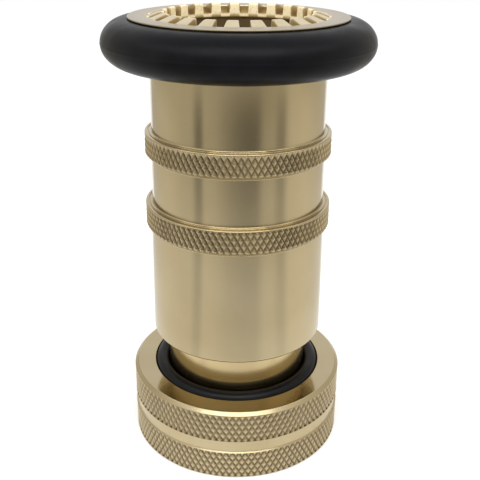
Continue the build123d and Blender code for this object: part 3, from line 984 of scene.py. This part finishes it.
def world(strength):
    made = bpy.data.worlds.new("studio")
    made.use_nodes = True
    made.node_tree.nodes["Background"].inputs["Color"].default_value = (1, 1, 1, 1)
    made.node_tree.nodes["Background"].inputs["Strength"].default_value = strength
    bpy.context.scene.world = made


CAMERA_PLACE = (0.0007, -0.20905, 0.15162)
CAMERA_PITCH = 21.495  # degrees below the horizon
CAMERA_ROLL = 0.47
CAMERA_LENS = 56.95
CAMERA_SHIFT = -0.051


def camera():
    data = bpy.data.cameras.new("camera")
    data.sensor_width = 36
    data.lens = CAMERA_LENS
    data.shift_y = CAMERA_SHIFT
    data.clip_start = 0.01
    data.clip_end = 50
    eye = bpy.data.objects.new("camera", data)
    eye.location = CAMERA_PLACE
    tilt = Matrix.Rotation(math.radians(90 - CAMERA_PITCH), 3, "X")
    roll = Matrix.Rotation(math.radians(CAMERA_ROLL), 3, "Z")
    eye.rotation_euler = (tilt @ roll).to_euler()
    bpy.context.scene.collection.objects.link(eye)
    bpy.context.scene.camera = eye


CARD_REACH = 145  # degrees to each side of the front
CARD_STEPS = 96
CARD_TINT = (1, 0.95, 0.84)  # warm, as the photo's reflections are


def reflector(name, card, shades):
    """A curved grey card around the object's front, that only reflections see.

    It puts the soft upright bands of a studio into the polished metal. card is its outline from the
    table up as (radius, height, opacity), and shades are (azimuth in degrees from the front, shade).
    """
    columns = CARD_STEPS + 1
    angles = np.radians(np.linspace(-CARD_REACH, CARD_REACH, columns))
    vertices = [(r * math.sin(a), -r * math.cos(a), z) for r, z, opacity in card for a in angles]
    faces = []
    for row in range(len(card) - 1):
        for i in range(row * columns, row * columns + CARD_STEPS):
            faces.append((i, i + 1, i + columns + 1, i + columns))
    mesh = bpy.data.meshes.new(name)
    mesh.from_pydata(vertices, [], faces)
    layer = mesh.uv_layers.new(name="card")
    for loop, uv in zip(mesh.loops, layer.data, strict=True):
        row, column = divmod(loop.vertex_index, columns)
        uv.uv = (column / CARD_STEPS, card[row][2])
    piece = bpy.data.objects.new(name, mesh)
    bpy.context.scene.collection.objects.link(piece)
    made, shader = material(name, (0, 0, 0), 0.0, 1.0, Specular_IOR_Level=0.0)
    place = node(made, "ShaderNodeSeparateXYZ")
    link(made, node(made, "ShaderNodeUVMap", uv_map="card").outputs["UV"], place.inputs[0])
    ramp = node(made, "ShaderNodeValToRGB")
    stops = ramp.color_ramp.elements
    for i, (azimuth, shade) in enumerate(shades):
        stop = stops[i] if i < 2 else stops.new(1.0)
        stop.position = (azimuth / CARD_REACH + 1) / 2
        stop.color = (*(shade * tint for tint in CARD_TINT), 1)
    link(made, place.outputs[0], ramp.inputs[0])
    link(made, ramp.outputs["Color"], shader.inputs["Emission Color"])
    shader.inputs["Emission Strength"].default_value = 1.0
    link(made, place.outputs[1], shader.inputs["Alpha"])
    mesh.materials.append(made)
    piece.visible_camera = False
    piece.visible_diffuse = False
    piece.visible_shadow = False


CARD_R = 0.23
CARD_SPLIT = 0.062  # level at which the upper card takes over
CARD_FOOT = 0.001
STUDIO_CARD = [
    (0.045, CARD_FOOT, 0.1),
    (0.09, CARD_FOOT, 0.45),
    (CARD_R, CARD_FOOT, 0.75),
    (CARD_R, 0.04, 1),
    (CARD_R, CARD_SPLIT, 1),
]
UPPER_CARD = [(CARD_R, CARD_SPLIT, 1), (CARD_R, 0.24, 1)]
UPPER_SHADES = [
    (-CARD_REACH, 0.7),
    (-60, 0.75),
    (-20, 0.6),
    (40, 0.6),
    (66, 0.85),
    (CARD_REACH, 0.7),
]
STUDIO_SHADES = [
    (-CARD_REACH, 0.62),
    (-115, 0.86),
    (-98, 0.90),
    (-84, 0.80),
    (-71, 0.67),
    (-58, 0.62),
    (-51, 0.18),
    (-46, 0.18),
    (-41, 0.66),
    (-27, 0.58),
    (-17, 0.42),
    (-7, 0.28),
    (3, 0.18),
    (12, 0.13),
    (23, 0.15),
    (32, 0.52),
    (43, 0.60),
    (52, 0.32),
    (57, 0.32),
    (61, 0.60),
    (66, 0.84),
    (91, 0.96),
    (106, 0.90),
    (CARD_REACH, 0.65),
]


floor()
world(1.0)
middle = (0, 0, 0.06)
softbox("softbox_left", (-0.75, -0.35, 0.45), middle, 0.7, 0.9, 3)
softbox("softbox_right", (0.75, -0.35, 0.45), middle, 0.7, 0.9, 3)
softbox("softbox_front", (0, -0.62, 0.85), middle, 1.1, 0.5, 6)
reflector("reflector_low", STUDIO_CARD, STUDIO_SHADES)
reflector("reflector_high", UPPER_CARD, UPPER_SHADES)
camera()
bpy.context.scene.view_settings.view_transform = "Standard"

bpy.context.view_layer.update()
